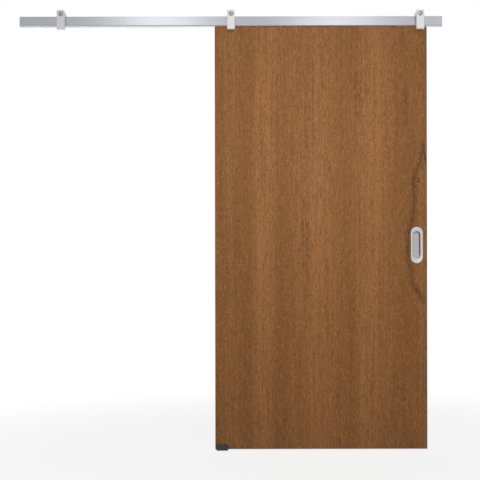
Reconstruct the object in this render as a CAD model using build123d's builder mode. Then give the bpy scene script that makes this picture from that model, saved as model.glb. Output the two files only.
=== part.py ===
from build123d import *
import os

os.makedirs("parts", exist_ok=True)

# Frame: the origin is on the wall plane, behind the rail's middle.
# +X runs along the rail, +Y goes into the wall and +Z is up. Lengths are in millimetres.

# Clearances
running_clearance = 0.05  # shaft in a bearing, all round
screw_clearance = 0.05  # screw in its own hole, all round
roll_clearance = 0.2  # roller above the runner lip
stop_clearance = 0.4  # carriage from the bumper at either end of its travel
jaw_clearance = 0.8  # guide jaw from the leaf's face
fit_clearance = 0.3  # loose fits, such as a stop in the channel

# Rail
rail_length = 2134
rail_height = 49
rail_depth = 30
rail_wall = 2.5
rail_skin = 3  # top wall and runner lips
rail_web = 2.5
rail_front_radius = 5
rail_top_radius = 2
chamber_height = 10.5
slot_top = 8
slot_bottom = 10
end_cap_thickness = 3
end_plug_length = 12

# Leaf
leaf_width = 1070
leaf_height = 2130
leaf_thickness = 35
leaf_edge_radius = 1.5
leaf_gap = 5  # rail to leaf
wall_gap = 15  # wall to leaf
floor_gap = 6  # leaf to floor

# Brackets
bracket_inset_left = 212  # bracket's middle from the rail's end
bracket_inset_right = 115
arm_width = 30
arm_height = 24.5
leg_thickness = 6
leg_drop = 44.5  # below the rail's top
pad_gap_top = 20
pad_gap_bottom = 8
pad_gap_depth = 1  # the leg bears on the wall above and below this gap
heel_height = 9
arm_fillet = 2
key_clearance = 0.2
cap_width = 39
cap_height = 97
cap_rise = 27.6  # above the rail's top
cap_depth = 22
cap_wall = 4
cap_corner_radius = 8
cap_foot_radius = 1.5
cap_chamfer = 1.6
cap_relief = 5  # kept clear of the leaf's face below the rail
cap_head_height = 36  # solid head round the bolt

# Wall bolts
bolt_radius = 5
bolt_thread_radius = 4.8
bolt_shank_reach = 2  # plain shank beyond the wall
bolt_rise = 8.2  # above the rail's top
bolt_reach = 50  # beyond the wall
bolt_head_radius = 10
bolt_head_height = 7
bolt_head_sink = 3  # head's front below the cover's face
bolt_socket = 8
bolt_socket_depth = 5
recess_radius = 10.6
recess_mouth_radius = 13.5

# Rail screws and slot nuts
rail_screw_radius = 2.5
rail_screw_head_radius = 4.25
rail_screw_head_height = 5
rail_screw_socket = 4
rail_screw_pitch = 21
nut_length = 32
nut_width = 20
nut_height = 5

# Roller carriages
carriage_inset = 75  # from the leaf's edge
carriage_length = 80
carriage_plate = 8
carriage_plate_height = 14
block_length = 18
block_width = 16
block_height = 25
axle_pitch = 48
axle_radius = 3
axle_head_radius = 4.5
axle_head_thickness = 1
boss_radius = 6
boss_height = 1
roller_radius = 14
roller_width = 5.5
roller_edge_radius = 0.6
bearing_radius = 8
bearing_groove_depth = 0.6
side_clearance = 0.2  # roller from its boss and from the axle's head

# Hangers
hanger_radius = 4
hanger_head = 13
hanger_head_height = 5.3
hanger_nut_height = 4
hanger_plate_length = 66
hanger_plate_width = 22
hanger_plate_thickness = 4
hanger_pocket_radius = 10
hanger_pocket_depth = 9
plate_screw_radius = 2
plate_screw_head_radius = 4
plate_screw_length = 35
plate_screw_pitch = 48

# Track stops
stop_inset = 72.6  # from the rail's end
stop_height = 20
bumper_radius = 7
bumper_length = 8
bumper_stem_radius = 3
bumper_stem_length = 9
bumper_edge_radius = 1.5
stop_screw_radius = 2.5
stop_screw_pitch = 14
stop_screw_socket = 2.5
stop_screw_sink = 3

# Flush pulls
pull_width = 60
pull_height = 183
pull_rim_width = 7
pull_flange = 4.5  # rim beyond the body that is let into the leaf
pull_proud = 2
pull_mouth_width = 36
pull_mouth_height = 138
pull_slope_depth = 3.5
pull_cup_depth = 12
pull_wall = 2.5
pull_floor_radius = 3
pull_edge_radius = 0.9
pull_edge_inset = 52  # pull's centre from the leaf's edge
pull_centre_height = 1028  # above the leaf's foot

# Floor guide
guide_length = 66
guide_height = 29
guide_base_thickness = 4
guide_jaw_thickness = 6
guide_end_slope = 5
guide_top_chamfer = 1.2
guide_inset = 35  # guide's middle from the closed leaf's trailing edge
guide_screw_radius = 2.25
guide_shank_radius = 1.8
guide_shank_reach = 1  # plain shank below the floor
guide_screw_head_radius = 4.2
guide_screw_reach = 30  # below the floor
guide_screw_pitch = 34
guide_screw_socket = 3
jaw_screw_radius = 2
jaw_shank_radius = 1.7
jaw_screw_head_radius = 3.6
jaw_screw_length = 16
jaw_screw_pitch = 44

# Heights and depths that follow from the sizes above
rail_back = -(wall_gap + (leaf_thickness - rail_depth) / 2)
rail_front = rail_back - rail_depth
rail_y = (rail_back + rail_front) / 2
rail_top = rail_height / 2
rail_bottom = -rail_height / 2
extrusion_length = rail_length - 2 * end_cap_thickness
lip_top = rail_bottom + rail_skin
chamber_top = rail_top - rail_skin
chamber_bottom = chamber_top - chamber_height
web_bottom = chamber_bottom - rail_web
channel_width = rail_depth - 2 * rail_wall
channel_height = web_bottom - lip_top

leaf_back = -wall_gap
leaf_front = leaf_back - leaf_thickness
leaf_top = rail_bottom - leaf_gap
leaf_bottom = leaf_top - leaf_height
leaf_y = (leaf_back + leaf_front) / 2
floor_z = leaf_bottom - floor_gap

bolt_z = rail_top + bolt_rise
cap_top = rail_top + cap_rise
cap_bottom = cap_top - cap_height
cap_front = rail_front - cap_depth
bolt_head_front = cap_front + bolt_head_sink
bolt_seat = bolt_head_front + bolt_head_height

axle_z = lip_top + roll_clearance + roller_radius
block_bottom = lip_top + fit_clearance
roller_inner = carriage_plate / 2 + boss_height + side_clearance
roller_outer = roller_inner + roller_width
plate_bottom = leaf_top - hanger_plate_thickness

# Places along the rail: the closed leaf's carriage stands at the right stop
bracket_xs = {
    "left": bracket_inset_left - rail_length / 2,
    "middle": 0,
    "right": rail_length / 2 - bracket_inset_right,
}
stop_length = bumper_stem_length + stop_screw_pitch + 4 * stop_screw_radius
bumper_tip = rail_length / 2 - stop_inset - stop_length - bumper_length
stop_faces = {"left": -bumper_tip, "right": bumper_tip}
leaf_right = bumper_tip - stop_clearance - carriage_length / 2 + carriage_inset
leaf_left = leaf_right - leaf_width
leaf_centre_x = (leaf_left + leaf_right) / 2
carriage_xs = {"left": leaf_left + carriage_inset, "right": leaf_right - carriage_inset}
guide_centre_x = leaf_left + guide_inset


def save(builder, node):
    """Label a finished piece and write it under its own name."""
    builder.part.label = node
    export_step(builder.part, f"parts/{node}.step")


def stadium(width, height):
    """Sketch a tall slot with round ends, about the current location."""
    SlotOverall(height, width, rotation=90)


# Rail: one extrusion with a nut chamber on top and the runner channel below
with BuildPart() as rail:
    with BuildSketch(Plane.YZ.offset(-extrusion_length / 2)):
        with Locations((rail_y, 0)):
            outline = Rectangle(rail_depth, rail_height)
        fillet(outline.vertices().group_by(Axis.Y)[0], rail_front_radius)
        fillet(outline.vertices().group_by(Axis.Y)[-1], rail_top_radius)
        with Locations((rail_y, (lip_top + web_bottom) / 2)):
            Rectangle(channel_width, channel_height, mode=Mode.SUBTRACT)
        with Locations((rail_y, (chamber_top + chamber_bottom) / 2)):
            Rectangle(channel_width, chamber_height, mode=Mode.SUBTRACT)
        with Locations((rail_y, rail_top)):
            Rectangle(slot_top, 2 * rail_skin, mode=Mode.SUBTRACT)
        with Locations((rail_y, rail_bottom)):
            Rectangle(slot_bottom, 2 * rail_skin, mode=Mode.SUBTRACT)
    extrude(amount=extrusion_length)
save(rail, "rail")

# End caps: the rail's outline, with a plug that grips inside the nut chamber
for side, sign in (("left", -1), ("right", 1)):
    with BuildPart() as end_cap:
        with BuildSketch(Plane.YZ.offset(sign * extrusion_length / 2)):
            with Locations((rail_y, 0)):
                outline = Rectangle(rail_depth, rail_height)
            fillet(outline.vertices().group_by(Axis.Y)[0], rail_front_radius)
            fillet(outline.vertices().group_by(Axis.Y)[-1], rail_top_radius)
        extrude(amount=sign * end_cap_thickness)
        outer_face = end_cap.faces().sort_by(Axis.X)[-1 if sign > 0 else 0]
        chamfer(outer_face.edges(), end_cap_thickness / 5)
        with BuildSketch(Plane.YZ.offset(sign * extrusion_length / 2)):
            with Locations((rail_y, (chamber_top + chamber_bottom) / 2)):
                Rectangle(channel_width - 2 * fit_clearance, chamber_height - 2 * fit_clearance)
        extrude(amount=-sign * end_plug_length)
    save(end_cap, f"rail_cap_{side}")

# One socket-head rail screw, standing with its head's seat at the origin
rail_screw_length = arm_height - rail_screw_head_height + rail_skin + nut_height
with BuildPart() as rail_screw:
    with BuildSketch(Plane.XY):
        Circle(rail_screw_head_radius)
    extrude(amount=rail_screw_head_height)
    chamfer(rail_screw.faces().sort_by(Axis.Z)[-1].edges(), rail_screw_head_height / 10)
    with BuildSketch(Plane.XY.offset(rail_screw_head_height)):
        RegularPolygon(rail_screw_socket / 2, 6, major_radius=False)
    extrude(amount=-rail_screw_head_height / 2, mode=Mode.SUBTRACT)
    with BuildSketch(Plane.XY):
        Circle(rail_screw_radius)
    extrude(amount=-rail_screw_length)

# Brackets: arm over the rail and down the wall, cast cover in front, bolt through both
for side, x in bracket_xs.items():
    arm_top = rail_top + arm_height
    heel_bottom = rail_top - leg_drop
    screw_spots = [(x - rail_screw_pitch / 2, rail_y), (x + rail_screw_pitch / 2, rail_y)]

    with BuildPart() as arm:
        with BuildSketch(Plane.YZ.offset(x - arm_width / 2)):
            with BuildLine():
                Polyline(
                    (0, heel_bottom),
                    (0, arm_top),
                    (rail_front, arm_top),
                    (rail_front, rail_top),
                    (-leg_thickness, rail_top),
                    (-leg_thickness, heel_bottom + heel_height),
                    (rail_back, heel_bottom + heel_height),
                    (rail_back, heel_bottom),
                    close=True,
                )
            make_face()
        extrude(amount=arm_width)
        inner_corners = arm.edges().filter_by(Axis.X).filter_by_position(
            Axis.Y, -leg_thickness, -leg_thickness
        )
        fillet(inner_corners, arm_fillet)
        chamfer(arm.faces().sort_by(Axis.Z)[-1].edges().filter_by(Axis.Y), arm_fillet)
        with BuildSketch(Plane.XZ):
            with Locations((x, (pad_gap_top + pad_gap_bottom) / 2)):
                Rectangle(arm_width, pad_gap_top - pad_gap_bottom)
        extrude(amount=pad_gap_depth, mode=Mode.SUBTRACT)
        with BuildSketch(Plane.XY.offset(rail_top)):
            with Locations((x, rail_y)):
                Rectangle(arm_width, slot_top - 2 * key_clearance)
        extrude(amount=-rail_skin)
        with BuildSketch(Plane.XZ):
            with Locations((x, bolt_z)):
                Circle(bolt_radius + screw_clearance)
        extrude(amount=-rail_front, mode=Mode.SUBTRACT)
        with Locations(*[(sx, sy, arm_top) for sx, sy in screw_spots]):
            CounterBoreHole(
                rail_screw_radius + screw_clearance,
                rail_screw_head_radius + fit_clearance,
                rail_screw_head_height,
            )
    save(arm, f"bracket_arm_{side}")

    with BuildPart() as cover:
        with BuildSketch(Plane.XZ.offset(-rail_front)):
            with Locations((x, (cap_top + cap_bottom) / 2)):
                outline = Rectangle(cap_width, cap_height)
            fillet(outline.vertices().group_by(Axis.Y)[-1], cap_corner_radius)
            fillet(outline.vertices().group_by(Axis.Y)[0], cap_foot_radius)
        extrude(amount=cap_depth)
        chamfer(cover.faces().sort_by(Axis.Y)[0].edges(), cap_chamfer)
        # Hollow back below the solid head
        pocket_top = cap_top - cap_head_height
        pocket_bottom = cap_bottom + cap_wall
        with BuildSketch(Plane.XZ.offset(-rail_front)):
            with Locations((x, (pocket_top + pocket_bottom) / 2)):
                RectangleRounded(cap_width - 2 * cap_wall, pocket_top - pocket_bottom, cap_wall / 2)
        extrude(amount=cap_depth - cap_wall, mode=Mode.SUBTRACT)
        # Relief that lets the leaf pass behind the cover's foot
        with BuildSketch(Plane.XZ.offset(-rail_front)):
            with Locations((x, (rail_bottom + cap_bottom) / 2)):
                Rectangle(2 * cap_width, rail_bottom - cap_bottom)
        extrude(amount=cap_relief, mode=Mode.SUBTRACT)
        # Bolt recess with a flared mouth
        mouth = recess_mouth_radius - recess_radius
        with BuildSketch(Plane.XZ.offset(-rail_front)):
            with Locations((x, bolt_z)):
                Circle(bolt_radius + screw_clearance)
        extrude(amount=cap_depth, mode=Mode.SUBTRACT)
        with BuildSketch(Plane.XZ.offset(-bolt_seat)):
            with Locations((x, bolt_z)):
                Circle(recess_radius)
        extrude(amount=bolt_seat - cap_front, mode=Mode.SUBTRACT)
        with BuildSketch(Plane.XZ.offset(-cap_front)):
            with Locations((x, bolt_z)):
                Circle(recess_mouth_radius)
        extrude(amount=-mouth, taper=45, mode=Mode.SUBTRACT)
    save(cover, f"bracket_cover_{side}")

    with BuildPart() as bolt:
        with BuildSketch(Plane.XZ.offset(-bolt_seat)):
            with Locations((x, bolt_z)):
                Circle(bolt_head_radius)
        extrude(amount=bolt_head_height)
        fillet(bolt.faces().sort_by(Axis.Y)[0].edges(), bolt_head_height / 2.5)
        with BuildSketch(Plane.XZ.offset(-bolt_head_front)):
            with Locations((x, bolt_z)):
                RegularPolygon(bolt_socket / 2, 6, major_radius=False)
        extrude(amount=-bolt_socket_depth, mode=Mode.SUBTRACT)
        with BuildSketch(Plane.XZ.offset(-bolt_seat)):
            with Locations((x, bolt_z)):
                Circle(bolt_radius)
        extrude(amount=bolt_seat - bolt_shank_reach)
        with BuildSketch(Plane.XZ.offset(-bolt_shank_reach)):
            with Locations((x, bolt_z)):
                Circle(bolt_thread_radius)
        extrude(amount=bolt_shank_reach - bolt_reach)
        chamfer(bolt.faces().sort_by(Axis.Y)[-1].edges(), bolt_radius / 5)
    save(bolt, f"wall_bolt_{side}")

    with BuildPart() as slot_nut:
        with BuildSketch(Plane.XY.offset(chamber_top)):
            with Locations((x, rail_y)):
                Rectangle(nut_length, nut_width)
        extrude(amount=-nut_height)
        chamfer(slot_nut.edges().filter_by(Axis.Z), nut_height / 3)
        with Locations(*[(sx, sy, chamber_top) for sx, sy in screw_spots]):
            Hole(rail_screw_radius + screw_clearance)
    save(slot_nut, f"slot_nut_{side}")

with BuildPart() as rail_screws:
    seat = rail_top + arm_height - rail_screw_head_height
    for x in bracket_xs.values():
        with Locations((x - rail_screw_pitch / 2, rail_y, seat), (x + rail_screw_pitch / 2, rail_y, seat)):
            add(rail_screw.part)
save(rail_screws, "rail_screws")

# Track stops: spreader blocks in the runner channel, each with a rubber bumper
with BuildPart() as stop_screw:
    stop_screw_length = web_bottom - lip_top - stop_screw_sink
    with BuildSketch(Plane.XY.offset(web_bottom)):
        Circle(stop_screw_radius)
    extrude(amount=-stop_screw_length)
    with BuildSketch(Plane.XY.offset(web_bottom - stop_screw_length)):
        RegularPolygon(stop_screw_socket / 2, 6, major_radius=False)
    extrude(amount=stop_screw_socket, mode=Mode.SUBTRACT)

stop_screw_spots = []
for side, sign in (("left", -1), ("right", 1)):
    face = stop_faces[side] + sign * bumper_length
    centre = face + sign * stop_length / 2
    first_screw = bumper_stem_length + 2 * stop_screw_radius
    spots = [(face + sign * first_screw, rail_y), (face + sign * (first_screw + stop_screw_pitch), rail_y)]
    stop_screw_spots += spots

    with BuildPart() as stop:
        with BuildSketch(Plane.XY.offset(lip_top)):
            with Locations((centre, rail_y)):
                Rectangle(stop_length, channel_width - 2 * fit_clearance)
        extrude(amount=stop_height)
        chamfer(stop.edges().filter_by(Axis.Y), fit_clearance * 3)
        with Locations(*[(sx, sy, lip_top + stop_height) for sx, sy in spots]):
            Hole(stop_screw_radius + screw_clearance)
        with BuildSketch(Plane.YZ.offset(face)):
            with Locations((rail_y, axle_z)):
                Circle(bumper_stem_radius + screw_clearance)
        extrude(amount=sign * bumper_stem_length, mode=Mode.SUBTRACT)
    save(stop, f"track_stop_{side}")

    with BuildPart() as bumper:
        with BuildSketch(Plane.YZ.offset(face)):
            with Locations((rail_y, axle_z)):
                Circle(bumper_radius)
        extrude(amount=-sign * bumper_length)
        fillet(bumper.faces().sort_by(Axis.X)[0 if sign > 0 else -1].edges(), bumper_edge_radius)
        with BuildSketch(Plane.YZ.offset(face)):
            with Locations((rail_y, axle_z)):
                Circle(bumper_stem_radius)
        extrude(amount=sign * (bumper_stem_length - fit_clearance))
    save(bumper, f"stop_bumper_{side}")

with BuildPart() as stop_screws:
    with Locations(*stop_screw_spots):
        add(stop_screw.part)
save(stop_screws, "stop_screws")

# Leaf: one flush board, let in for the hanger plates and for both pulls
pull_x = leaf_right - pull_edge_inset
pull_z = leaf_bottom + pull_centre_height
pull_body_width = pull_width - 2 * pull_flange
pull_body_height = pull_height - 2 * pull_flange
pull_body_depth = pull_cup_depth - pull_proud + pull_wall

with BuildPart() as leaf:
    with BuildSketch(Plane.XY.offset(leaf_top)):
        with Locations((leaf_centre_x, leaf_y)):
            Rectangle(leaf_width, leaf_thickness)
    extrude(amount=-leaf_height)
    fillet(leaf.edges(), leaf_edge_radius)
    for x in carriage_xs.values():
        with BuildSketch(Plane.XY.offset(leaf_top)):
            with Locations((x, leaf_y)):
                Rectangle(hanger_plate_length, hanger_plate_width)
        extrude(amount=-hanger_plate_thickness, mode=Mode.SUBTRACT)
        with BuildSketch(Plane.XY.offset(plate_bottom)):
            with Locations((x, leaf_y)):
                Circle(hanger_pocket_radius)
        extrude(amount=-hanger_pocket_depth, mode=Mode.SUBTRACT)
        with Locations(
            (x - plate_screw_pitch / 2, leaf_y, plate_bottom),
            (x + plate_screw_pitch / 2, leaf_y, plate_bottom),
        ):
            Hole(plate_screw_radius + screw_clearance, depth=plate_screw_length)
    for face_y, inwards in ((leaf_front, -1), (leaf_back, 1)):
        with BuildSketch(Plane.XZ.offset(-face_y)):
            with Locations((pull_x, pull_z)):
                stadium(pull_body_width + 2 * fit_clearance, pull_body_height + 2 * fit_clearance)
        extrude(amount=inwards * (pull_body_depth + fit_clearance), mode=Mode.SUBTRACT)
save(leaf, "door_leaf")

# Flush pulls: a flat rim, a sloping shoulder and a deep cup with a rounded floor
for side, face_y, outwards in (("front", leaf_front, 1), ("rear", leaf_back, -1)):
    rim_face = face_y - outwards * pull_proud
    with BuildPart() as pull:
        with BuildSketch(Plane.XZ.offset(-face_y)):
            with Locations((pull_x, pull_z)):
                stadium(pull_width, pull_height)
        extrude(amount=outwards * pull_proud)
        fillet(pull.faces().sort_by(Axis.Y)[0 if outwards > 0 else -1].edges(), pull_edge_radius)
        with BuildSketch(Plane.XZ.offset(-face_y)):
            with Locations((pull_x, pull_z)):
                stadium(pull_body_width, pull_body_height)
        extrude(amount=-outwards * pull_body_depth)
        with BuildSketch(Plane.XZ.offset(-rim_face)):
            with Locations((pull_x, pull_z)):
                stadium(pull_width - 2 * pull_rim_width, pull_height - 2 * pull_rim_width)
        with BuildSketch(Plane.XZ.offset(-rim_face - outwards * pull_slope_depth)):
            with Locations((pull_x, pull_z)):
                stadium(pull_mouth_width, pull_mouth_height)
        loft(mode=Mode.SUBTRACT)
        with BuildSketch(Plane.XZ.offset(-rim_face)):
            with Locations((pull_x, pull_z)):
                stadium(pull_mouth_width, pull_mouth_height)
        extrude(amount=-outwards * pull_cup_depth, mode=Mode.SUBTRACT)
        cup_floor = rim_face + outwards * pull_cup_depth
        floor_edges = pull.edges().filter_by_position(Axis.Y, cup_floor, cup_floor)
        fillet(floor_edges, pull_floor_radius)
    save(pull, f"flush_pull_{side}")

# Hangers and carriages
with BuildPart() as plate_screw:
    cone_depth = plate_screw_head_radius - plate_screw_radius
    with BuildSketch(Plane.XY):
        Circle(plate_screw_head_radius)
    extrude(amount=-cone_depth, taper=45)
    with BuildSketch(Plane.XY):
        Circle(plate_screw_radius)
    extrude(amount=-plate_screw_length)
    with BuildSketch(Plane.XY):
        RegularPolygon(plate_screw_radius * 0.8, 4)
    extrude(amount=-cone_depth, mode=Mode.SUBTRACT)

plate_screw_spots = []
for side, x in carriage_xs.items():
    spots = [(x - plate_screw_pitch / 2, leaf_y, leaf_top), (x + plate_screw_pitch / 2, leaf_y, leaf_top)]
    plate_screw_spots += spots

    with BuildPart() as hanger_plate:
        with BuildSketch(Plane.XY.offset(leaf_top)):
            with Locations((x, leaf_y)):
                Rectangle(hanger_plate_length, hanger_plate_width)
        extrude(amount=-hanger_plate_thickness)
        with Locations((x, leaf_y, leaf_top)):
            Hole(hanger_radius + screw_clearance)
        with Locations(*spots):
            CounterSinkHole(
                plate_screw_radius + screw_clearance,
                plate_screw_head_radius + screw_clearance,
                counter_sink_angle=90,
            )
    save(hanger_plate, f"hanger_plate_{side}")

    with BuildPart() as hanger_bolt:
        with BuildSketch(Plane.XY.offset(plate_bottom)):
            with Locations((x, leaf_y)):
                RegularPolygon(hanger_head / 2, 6, major_radius=False)
        extrude(amount=-hanger_head_height)
        with BuildSketch(Plane.XY.offset(plate_bottom)):
            with Locations((x, leaf_y)):
                Circle(hanger_radius)
        extrude(amount=block_bottom + block_height - plate_bottom)
        chamfer(hanger_bolt.faces().sort_by(Axis.Z)[-1].edges(), hanger_radius / 6)
    save(hanger_bolt, f"hanger_bolt_{side}")

    with BuildPart() as hanger_nut:
        with BuildSketch(Plane.XY.offset(leaf_top)):
            with Locations((x, leaf_y)):
                RegularPolygon(hanger_head / 2, 6, major_radius=False)
        extrude(amount=hanger_nut_height)
        with Locations((x, leaf_y, leaf_top + hanger_nut_height)):
            Hole(hanger_radius + screw_clearance)
    save(hanger_nut, f"hanger_nut_{side}")

    axle_xs = [x - axle_pitch / 2, x + axle_pitch / 2]
    with BuildPart() as carriage:
        with BuildSketch(Plane.XZ.offset(-rail_y)):
            with Locations((x, axle_z)):
                SlotOverall(carriage_length, carriage_plate_height)
        extrude(amount=carriage_plate / 2, both=True)
        with BuildSketch(Plane.XZ.offset(-rail_y)):
            with Locations(*[(ax, axle_z) for ax in axle_xs]):
                Circle(boss_radius)
        extrude(amount=carriage_plate / 2 + boss_height, both=True)
        with BuildSketch(Plane.XY.offset(block_bottom)):
            with Locations((x, rail_y)):
                Rectangle(block_length, block_width)
        extrude(amount=block_height)
        chamfer(carriage.faces().sort_by(Axis.Z)[-1].edges(), boss_height)
        with Locations((x, rail_y, block_bottom + block_height)):
            Hole(hanger_radius + screw_clearance)
        with BuildSketch(Plane.XZ.offset(-rail_y)):
            with Locations(*[(ax, axle_z) for ax in axle_xs]):
                Circle(axle_radius + screw_clearance)
        extrude(amount=channel_width / 2, both=True, mode=Mode.SUBTRACT)
    save(carriage, f"carriage_{side}")

    for number, ax in enumerate(axle_xs, 1):
        half_axle = roller_outer + side_clearance + axle_head_thickness
        with BuildPart() as axle:
            with BuildSketch(Plane.XZ.offset(-rail_y)):
                with Locations((ax, axle_z)):
                    Circle(axle_radius)
            extrude(amount=half_axle, both=True)
            for sign in (-1, 1):
                with BuildSketch(Plane.XZ.offset(-rail_y + sign * (half_axle - axle_head_thickness))):
                    with Locations((ax, axle_z)):
                        Circle(axle_head_radius)
                extrude(amount=sign * axle_head_thickness)
        save(axle, f"axle_{side}_{number}")

        for place, sign in (("front", 1), ("rear", -1)):
            inner = -rail_y + sign * roller_inner
            with BuildPart() as tyre:
                with BuildSketch(Plane.XZ.offset(inner)):
                    with Locations((ax, axle_z)):
                        Circle(roller_radius)
                extrude(amount=sign * roller_width)
                fillet(tyre.edges().filter_by(GeomType.CIRCLE), roller_edge_radius)
                with BuildSketch(Plane.XZ.offset(inner)):
                    with Locations((ax, axle_z)):
                        Circle(bearing_radius)
                extrude(amount=sign * roller_width, mode=Mode.SUBTRACT)
            save(tyre, f"roller_tyre_{side}_{number}_{place}")

            groove_in = bearing_radius * 0.85
            groove_out = axle_radius * 1.5
            with BuildPart() as bearing:
                with BuildSketch(Plane.XZ.offset(inner)):
                    with Locations((ax, axle_z)):
                        Circle(bearing_radius)
                        Circle(axle_radius + running_clearance, mode=Mode.SUBTRACT)
                extrude(amount=sign * roller_width)
                for start, way in ((inner, sign), (inner + sign * roller_width, -sign)):
                    with BuildSketch(Plane.XZ.offset(start)):
                        with Locations((ax, axle_z)):
                            Circle(groove_in)
                            Circle(groove_out, mode=Mode.SUBTRACT)
                    extrude(amount=way * bearing_groove_depth, mode=Mode.SUBTRACT)
            save(bearing, f"roller_bearing_{side}_{number}_{place}")

with BuildPart() as plate_screws:
    with Locations(*plate_screw_spots):
        add(plate_screw.part)
save(plate_screws, "plate_screws")

# Floor guide: a base with its rear jaw, and a front jaw screwed on from below
guide_front = leaf_front - jaw_clearance - guide_jaw_thickness
guide_back = leaf_back + jaw_clearance + guide_jaw_thickness
base_top = floor_z + guide_base_thickness
jaw_screw_spots = [
    (guide_centre_x - jaw_screw_pitch / 2, guide_front + guide_jaw_thickness / 2, floor_z),
    (guide_centre_x + jaw_screw_pitch / 2, guide_front + guide_jaw_thickness / 2, floor_z),
]
floor_screw_spots = [
    (guide_centre_x - guide_screw_pitch / 2, leaf_y, base_top),
    (guide_centre_x + guide_screw_pitch / 2, leaf_y, base_top),
]


# Front view of a jaw above the base, with ends that lean in towards the floor
jaw_left = guide_centre_x - guide_length / 2
jaw_right = guide_centre_x + guide_length / 2
jaw_top = floor_z + guide_height
jaw_outline = [
    (jaw_left, base_top + guide_end_slope),
    (jaw_left, jaw_top),
    (jaw_right, jaw_top),
    (jaw_right, base_top + guide_end_slope),
    (jaw_right - guide_end_slope, base_top),
    (jaw_left + guide_end_slope, base_top),
]

with BuildPart() as guide_base:
    with BuildSketch(Plane.XY.offset(floor_z)):
        with Locations((guide_centre_x, (guide_front + guide_back) / 2)):
            Rectangle(guide_length - 2 * guide_end_slope, guide_back - guide_front)
    extrude(amount=guide_base_thickness)
    with BuildSketch(Plane.XZ.offset(-guide_back)):
        with BuildLine():
            Polyline(*jaw_outline, close=True)
        make_face()
    extrude(amount=guide_jaw_thickness)
    chamfer(guide_base.faces().sort_by(Axis.Z)[-1].edges(), guide_top_chamfer)
    with Locations(*floor_screw_spots):
        CounterSinkHole(
            guide_screw_radius + screw_clearance,
            guide_screw_head_radius + screw_clearance,
            counter_sink_angle=90,
        )
    with Locations(*[Location(spot, (180, 0, 0)) for spot in jaw_screw_spots]):
        CounterSinkHole(
            jaw_screw_radius + screw_clearance,
            jaw_screw_head_radius + screw_clearance,
            depth=guide_base_thickness,
            counter_sink_angle=90,
        )
save(guide_base, "guide_base")

with BuildPart() as guide_jaw:
    with BuildSketch(Plane.XZ.offset(-guide_front - guide_jaw_thickness)):
        with BuildLine():
            Polyline(*jaw_outline, close=True)
        make_face()
    extrude(amount=guide_jaw_thickness)
    chamfer(guide_jaw.faces().sort_by(Axis.Z)[-1].edges(), guide_top_chamfer)
    with BuildSketch(Plane.XY.offset(base_top)):
        with Locations(*[(sx, sy) for sx, sy, sz in jaw_screw_spots]):
            Circle(jaw_screw_radius + screw_clearance)
    extrude(amount=jaw_screw_length - guide_base_thickness + fit_clearance, mode=Mode.SUBTRACT)
save(guide_jaw, "guide_jaw")


def countersunk_screw(radius, shank_radius, head_radius, length, shank_length, socket):
    """A countersunk screw that hangs down from its head's flat face at the origin."""
    with BuildPart() as screw:
        with BuildSketch(Plane.XY):
            Circle(head_radius)
        extrude(amount=shank_radius - head_radius, taper=45)
        with BuildSketch(Plane.XY):
            Circle(shank_radius)
        extrude(amount=-shank_length)
        with BuildSketch(Plane.XY.offset(-shank_length)):
            Circle(radius)
        extrude(amount=shank_length - length)
        with BuildSketch(Plane.XY):
            RegularPolygon(socket / 2, 6, major_radius=False)
        extrude(amount=shank_radius - head_radius, mode=Mode.SUBTRACT)
    return screw.part


with BuildPart() as guide_screws:
    with Locations(*floor_screw_spots):
        add(
            countersunk_screw(
                guide_screw_radius,
                guide_shank_radius,
                guide_screw_head_radius,
                guide_base_thickness + guide_screw_reach,
                guide_base_thickness + guide_shank_reach,
                guide_screw_socket,
            )
        )
save(guide_screws, "guide_screws")

with BuildPart() as jaw_screws:
    with Locations(*[Location(spot, (180, 0, 0)) for spot in jaw_screw_spots]):
        add(
            countersunk_screw(
                jaw_screw_radius,
                jaw_shank_radius,
                jaw_screw_head_radius,
                jaw_screw_length,
                guide_base_thickness,
                jaw_screw_radius,
            )
        )
save(jaw_screws, "jaw_screws")
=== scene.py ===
import math

import bmesh
import bpy
from bpy.props import FloatProperty, FloatVectorProperty, IntProperty, PointerProperty
from mathutils import Matrix, Vector


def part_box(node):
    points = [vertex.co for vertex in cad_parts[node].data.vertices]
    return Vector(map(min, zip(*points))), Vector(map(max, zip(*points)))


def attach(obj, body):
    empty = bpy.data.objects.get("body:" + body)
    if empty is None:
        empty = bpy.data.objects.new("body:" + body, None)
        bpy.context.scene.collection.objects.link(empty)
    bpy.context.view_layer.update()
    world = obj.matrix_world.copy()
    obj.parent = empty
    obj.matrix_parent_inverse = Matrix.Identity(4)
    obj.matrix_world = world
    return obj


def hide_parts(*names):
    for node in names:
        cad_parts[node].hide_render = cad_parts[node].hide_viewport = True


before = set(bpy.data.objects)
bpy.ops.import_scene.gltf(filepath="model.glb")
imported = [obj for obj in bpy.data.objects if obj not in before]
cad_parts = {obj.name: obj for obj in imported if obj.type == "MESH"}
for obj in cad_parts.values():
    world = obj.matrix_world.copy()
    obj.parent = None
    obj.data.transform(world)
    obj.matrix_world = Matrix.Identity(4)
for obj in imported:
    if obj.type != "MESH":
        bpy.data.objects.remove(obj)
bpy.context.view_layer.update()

bl_info = {
    "name": "Sliding Door on a Box Rail",
    "version": (1, 0, 0),
    "blender": (4, 5, 0),
    "location": "3D View > Sidebar > Sliding Door",
    "description": "Dresses the sliding door: its wood leaf, rail, clips, fasteners, rollers, pulls and floor guide",
    "category": "Object",
}

SIDES = ("left", "middle", "right")
LEAF_LO, LEAF_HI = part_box("door_leaf")


# ---------------------------------------------------------------- node trees


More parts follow.
